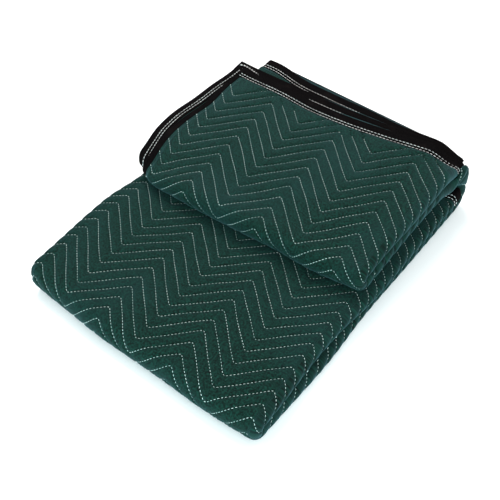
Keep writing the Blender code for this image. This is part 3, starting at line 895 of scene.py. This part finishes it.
# The values between which a second colour comes in, with its most, and the bumps
TONES = {
    "grain": {"low": 0.44, "high": 0.62, "most": 1.0},
    "patches": {"low": 0.48, "high": 0.75, "most": 0.40},
    "rib": {"low": 0.40, "high": 0.65, "most": 1.0},
    "wear": {"low": 0.55, "high": 0.8, "most": 0.6},
    "thread": {"low": 0.35, "high": 0.6, "most": 1.0},
}
BUMPS = {
    "grain": {"strength": 0.6, "distance": 0.0009},
    "puckers": {"strength": 0.5, "distance": 0.0030},
    "rib": {"strength": 0.5, "distance": 0.0005},
}


def cloth_material():
    """Dark green plain weave with a slight fuzz, uneven in tone."""
    made, shader = plain_material("pad_green", DARK_GREEN, **CLOTH_SURFACE)
    for name, value in SHEEN.items():
        shader.inputs[name].default_value = value
    place = add_node(made, "ShaderNodeAttribute", attribute_name=CLOTH_PLACE).outputs["Vector"]
    noise = {name: stretched_noise(made, place, **row) for name, row in CLOTH_NOISE.items()}
    weave = calculated(made, "MAXIMUM", noise["across_yarn"], noise["along_yarn"])
    shares = ((weave, WEAVE_SHARE), (noise["fuzz"], FUZZ_SHARE), (noise["flecks"], FLECKS_SHARE))
    parts = [calculated(made, "MULTIPLY", value, share) for value, share in shares]
    grain = calculated(made, "ADD", calculated(made, "ADD", parts[0], parts[1]), parts[2])
    colour = mixed(made, DARK_GREEN, LIGHT_GREEN, grain, "grain")
    colour = mixed(made, colour, FADED_GREEN, noise["patches"], "patches")
    join(made, colour, shader, "Base Color")
    fine = bumped(made, grain, **BUMPS["grain"])
    join(made, bumped(made, noise["puckers"], **BUMPS["puckers"], before=fine), shader, "Normal")
    return made


def tape_material():
    """Black ribbed tape, a little brown where it is worn."""
    made, shader = plain_material("pad_binding", TAPE_COLOUR, **TAPE_SURFACE)
    place = add_node(made, "ShaderNodeTexCoord").outputs["Object"]
    noise = {name: stretched_noise(made, place, **row) for name, row in TAPE_NOISE.items()}
    colour = mixed(made, TAPE_DARK, TAPE_LIGHT, noise["rib"], "rib")
    colour = mixed(made, colour, TAPE_WORN, noise["wear"], "wear")
    join(made, colour, shader, "Base Color")
    join(made, bumped(made, noise["rib"], **BUMPS["rib"]), shader, "Normal")
    return made


def thread_material(name, light, dark):
    """Twisted polyester thread, some stitches duller than others."""
    made, shader = plain_material(name, light, **THREAD_SURFACE)
    place = add_node(made, "ShaderNodeTexCoord").outputs["Object"]
    uneven = stretched_noise(made, place, THREAD_NOISE)
    colour = mixed(made, dark, light, uneven, "thread")
    join(made, colour, shader, "Base Color")
    return made


green = cloth_material()
black = tape_material()
white = thread_material("pad_thread", **QUILT_THREAD)
tape_white = thread_material("pad_tape_thread", **PALE_THREAD)

cloth = quilted_cloth(green)
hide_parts("quilted_cloth")
tapes = [
    side_binding("tape_side_top", "d", 1, black),
    side_binding("tape_side_inner", "c", -1, black),
    end_binding("tape_end_flap", True, black),
    end_binding("tape_end_tucked", False, black),
]
TAPE_NODES = ("side_binding_top", "side_binding_inner", "end_binding_flap", "end_binding_tucked")
TAPE_SLOTS = ("binding_top", "binding_inner", "binding_flap", "binding_tucked")
for tape, node, slot in zip(tapes, TAPE_NODES, TAPE_SLOTS):
    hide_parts(node)


def surface_spots(places, zone, sides):
    """Spots on the zone's outer face at places across it, for the sides that the cloth has there."""
    flap = zone == "flap"
    kinds = []
    for fill in (d_layer if flap else a_layer, right_fold, left_fold):
        made = Spots()
        fill(made, [0.0])
        kinds.append(made.done())
    side = dict(zip(SIDE_NAMES, sides))
    right = side["right"] + RIGHT_CENTRE
    left = side["edge_d"] + SIDE_TAPER["d"] if flap else side["fold"] + FOLD_CENTRE
    kind = np.where(places > right, 1, np.where((places < left) & (not flap), 2, 0))
    spots = {name: np.choose(kind, [one[name] for one in kinds]) for name in Spots.FIELDS}
    share = (places - left) / (right - left)
    spots["share"] = np.where(kind == 0, share if flap else 1 - share, 0.0)
    round_right = np.minimum((places - right) / OUTER_ARC["right"], math.pi)
    round_left = np.minimum((left - places) / OUTER_ARC["fold"], math.pi)
    round_right = round_right if flap else math.pi - round_right
    spots["angle"] = np.where(kind == 1, round_right, np.where(kind == 2, round_left, 0.0))
    return spots


def unit(vectors):
    """Vectors of length one in the same directions."""
    return vectors / np.maximum(np.linalg.norm(vectors, axis=1, keepdims=True), 1e-9)


def dashes(name, found_lines, step, dash, radius, material):
    """Short thin pieces of thread along lines, each with its ends sunk."""
    points, faces = [], []
    total = 0
    corners = len(DASH_ROUND)
    count = corners * len(DASH_SHAPE["along"])
    for line, above in found_lines:
        along = np.concatenate([[0.0], np.cumsum(np.linalg.norm(np.diff(line, axis=0), axis=1))])
        if along[-1] < step:
            continue
        middles = np.arange(step * 0.5, along[-1] - dash * 0.5, step)

        def at(place, values):
            return np.stack([np.interp(place, along, values[:, k]) for k in range(3)], axis=1)

        ahead = unit(at(middles + dash * DASH_AIM, line) - at(middles - dash * DASH_AIM, line))
        up = at(middles, above) - at(middles, line)
        up = unit(up - (up * ahead).sum(1, keepdims=True) * ahead)
        side = np.cross(ahead, up)
        rings = []
        for share, size, raised in zip(*DASH_SHAPE.values()):
            centre = at(middles + dash * share, line) + up * radius * raised
            for du, ds in DASH_ROUND:
                rings.append(centre + (up * du + side * ds * DASH_WIDE) * radius * size)
        for base in range(total, total + len(middles) * count, count):
            for low in range(base, base + count - corners, corners):
                faces += wall(low, low + corners, corners)
            faces.append(tuple(reversed(range(base, base + corners))))
            faces.append(tuple(range(base + count - corners, base + count)))
        points.append(np.stack(rings, axis=1).reshape(-1, 3))
        total += len(middles) * count
    return new_object(name, np.concatenate(points), faces, material)


def quilting_lines(zone):
    """Points along rows of stitches over the zone's outer face, and points just above them."""
    found_lines = []
    sewn = SEWN[zone]
    last = EVEN_SIDES[zone]["right"] + RIGHT_CENTRE + OUTER_ARC["right"] * math.pi + sewn["past_right"]
    places = np.arange(sewn["from"], last, SAMPLE)
    for row in sewn["rows"]:
        sides = [np.full(len(places), EVEN_SIDES[zone][name]) for name in SIDE_NAMES]
        for _ in range(ROUNDS):
            spots = surface_spots(places, zone, sides)
            shift = zigzag_shift(places, zone) + sway(places, row)
            q = row_base(row, spots, zone) + (shift if zone == "flap" else -shift)
            sides = on_strip(q, spots, spots["layer"])[3]
        out = spots["half"] + relief(q, spots) + THREAD * THREAD_OUT
        starts, _, _ = starts_of(spots)
        if zone == "flap":
            keep = (q < flap_zero(spots) + ends_of(spots) - TAPE_ROWS) & (q > starts[FLAP_TURN] - PAST_TURN)
            keep &= spots["share"] > -TAPER / ROW / FLAP_ACROSS
        else:
            keep = (q > TAPE_ROWS) & (q < starts[LEG_3] + PAST_TURN)
        for run in np.split(np.arange(len(places)), np.flatnonzero(np.diff(keep.astype(int))) + 1):
            if keep[run[0]] and len(run) > FEWEST:
                part = pick(spots, run)
                found_lines.append([to_world(q[run], part, out[run] + more) for more in (0.0, ABOVE)])
    return found_lines


lower_thread = dashes("quilting_thread_lower", quilting_lines("lower"), STITCH, DASH, THREAD, white)
flap_thread = dashes("quilting_thread_flap", quilting_lines("flap"), STITCH, DASH, THREAD, white)


def tape_line(q, spots, face):
    """Points of a line on one face of a tape, and points just above it."""
    normal = np.full(len(q), face * (TAPE_OUT + TAPE_THREAD * TAPE_THREAD_OUT))
    return to_world(q, spots, normal), to_world(q, spots, normal + face * ABOVE)


def side_tape_lines(layer, up):
    """The two rows of stitches along a side tape, on both of its faces."""
    found_lines = []
    first = TAPE_ROW_PLACES[0] / ROW
    for inward in SIDE_ROW_PLACES:
        spots = edge_spot(layer, [inward / ROW] * TAPE_SAMPLES, up)
        last = flap_zero(spots) + ends_of(spots) - first
        q = mix(np.full(TAPE_SAMPLES, first), last, np.linspace(0, 1, TAPE_SAMPLES))
        found_lines += [tape_line(q, spots, face) for face in (1, -1)]
    return found_lines


def end_tape_lines(at_flap):
    """The two rows of stitches along an end tape, on both of its faces."""
    found_lines = []
    spots = pick(tape_section(), slice(3, -3))
    for inward in TAPE_ROW_PLACES:
        q = from_end(inward / ROW, at_flap)(spots, 1.0)
        found_lines += [tape_line(q, spots, face) for face in (1, -1)]
    return found_lines


def tape_thread(name, found_lines):
    return dashes(name, found_lines, TAPE_STITCH, TAPE_DASH, TAPE_THREAD, tape_white)


def backtack_lines():
    """The thick run of stitches that locks the sewing of the tapes at their corner."""
    found_lines = []
    spots = edge_spot("c", BACKTACK["inward"], -1)
    for beside in BACKTACK_BESIDE:
        q = flap_zero(spots) + ends_of(spots) - np.array(BACKTACK["from_end"]) - beside
        found_lines.append(tape_line(q, spots, -1))
    return found_lines


tape_threads = [
    tape_thread("tape_thread_corner", backtack_lines()),
    tape_thread("tape_thread_side", side_tape_lines("c", -1)),
    tape_thread("tape_thread_flap", end_tape_lines(True)),
    tape_thread("tape_thread_tucked", end_tape_lines(False)),
]

# The floor
FLOOR_HALF, FLOOR_BELOW = 6, 0.0005
FLOOR_COLOUR = (0.94, 0.94, 0.94)
FLOOR_SURFACE = {"roughness": 0.9, "specular": 0.5}
floor_mesh = bpy.data.meshes.new("floor")
floor_corners = [(FLOOR_HALF * x, FLOOR_HALF * y, 0) for x, y in ((-1, -1), (1, -1), (1, 1), (-1, 1))]
floor_mesh.from_pydata(floor_corners, [], [(0, 1, 2, 3)])
floor = placed("floor", floor_mesh)
floor_mesh.materials.append(plain_material("floor", FLOOR_COLOUR, **FLOOR_SURFACE)[0])
floor.location.z = -FLOOR_BELOW

# The camera, fitted to the quilting's rows and given in rows from the lower stack's top
TOP = 0.0409  # height of that top, in metres
CAMERA_PLACE = (34.01, -14.46, 34.68)
CAMERA_RIGHT = (0.8101, 0.5861, 0.0112)
CAMERA_UP = (-0.4368, 0.5907, 0.6784)
SENSOR = 36
FOCAL = 1.4428  # focal length, in widths of the frame
camera_data = bpy.data.cameras.new("camera")
camera_data.lens = FOCAL * SENSOR
camera_data.sensor_width = SENSOR
camera = placed("camera", camera_data)
bpy.context.scene.camera = camera
right_axis = Vector(CAMERA_RIGHT).normalized()
up_axis = Vector(CAMERA_UP)
up_axis = (up_axis - up_axis.dot(right_axis) * right_axis).normalized()
back_axis = right_axis.cross(up_axis)
camera_u, camera_v, camera_up = CAMERA_PLACE
place = Vector(((camera_u - CENTRE_U) * ROW, (camera_v - CENTRE_V) * ROW, camera_up * ROW + TOP))
turned = Matrix((right_axis, up_axis, back_axis)).transposed().to_4x4()
camera.matrix_world = Matrix.Translation(place) @ turned


LIGHTS = {
    "key": {"place": (-1.2, 1.0, 2.2), "aim": 0.05, "size": 1.6, "power": 60},
    "fill": {"place": (1.8, -1.2, 1.8), "aim": 0.05, "size": 1.8, "power": 25},
    "front": {"place": (0.8, -2.3, 0.5), "aim": 0.08, "size": 1.2, "power": 66, "colour": (0.55, 0.94, 1.0)},
}
WORLD_STRENGTH = 0.92


def area_light(name, place, aim, size, power, colour=(1.0, 1.0, 1.0)):
    """A round soft light that looks at a height above the part's origin."""
    data = bpy.data.lights.new(name, "AREA")
    data.shape = "DISK"
    data.size = size
    data.energy = power
    data.color = colour
    light = placed(name, data)
    light.location = place
    light.rotation_mode = "QUATERNION"
    light.rotation_quaternion = (Vector((0, 0, aim)) - Vector(place)).to_track_quat("-Z", "Y")


for name, values in LIGHTS.items():
    area_light(name, **values)
world = bpy.data.worlds.new("studio")
bpy.context.scene.world = world
world.use_nodes = True
background = world.node_tree.nodes["Background"]
background.inputs["Color"].default_value = (1.0, 1.0, 1.0, 1.0)
background.inputs["Strength"].default_value = WORLD_STRENGTH
bpy.context.scene.view_settings.view_transform = "Standard"
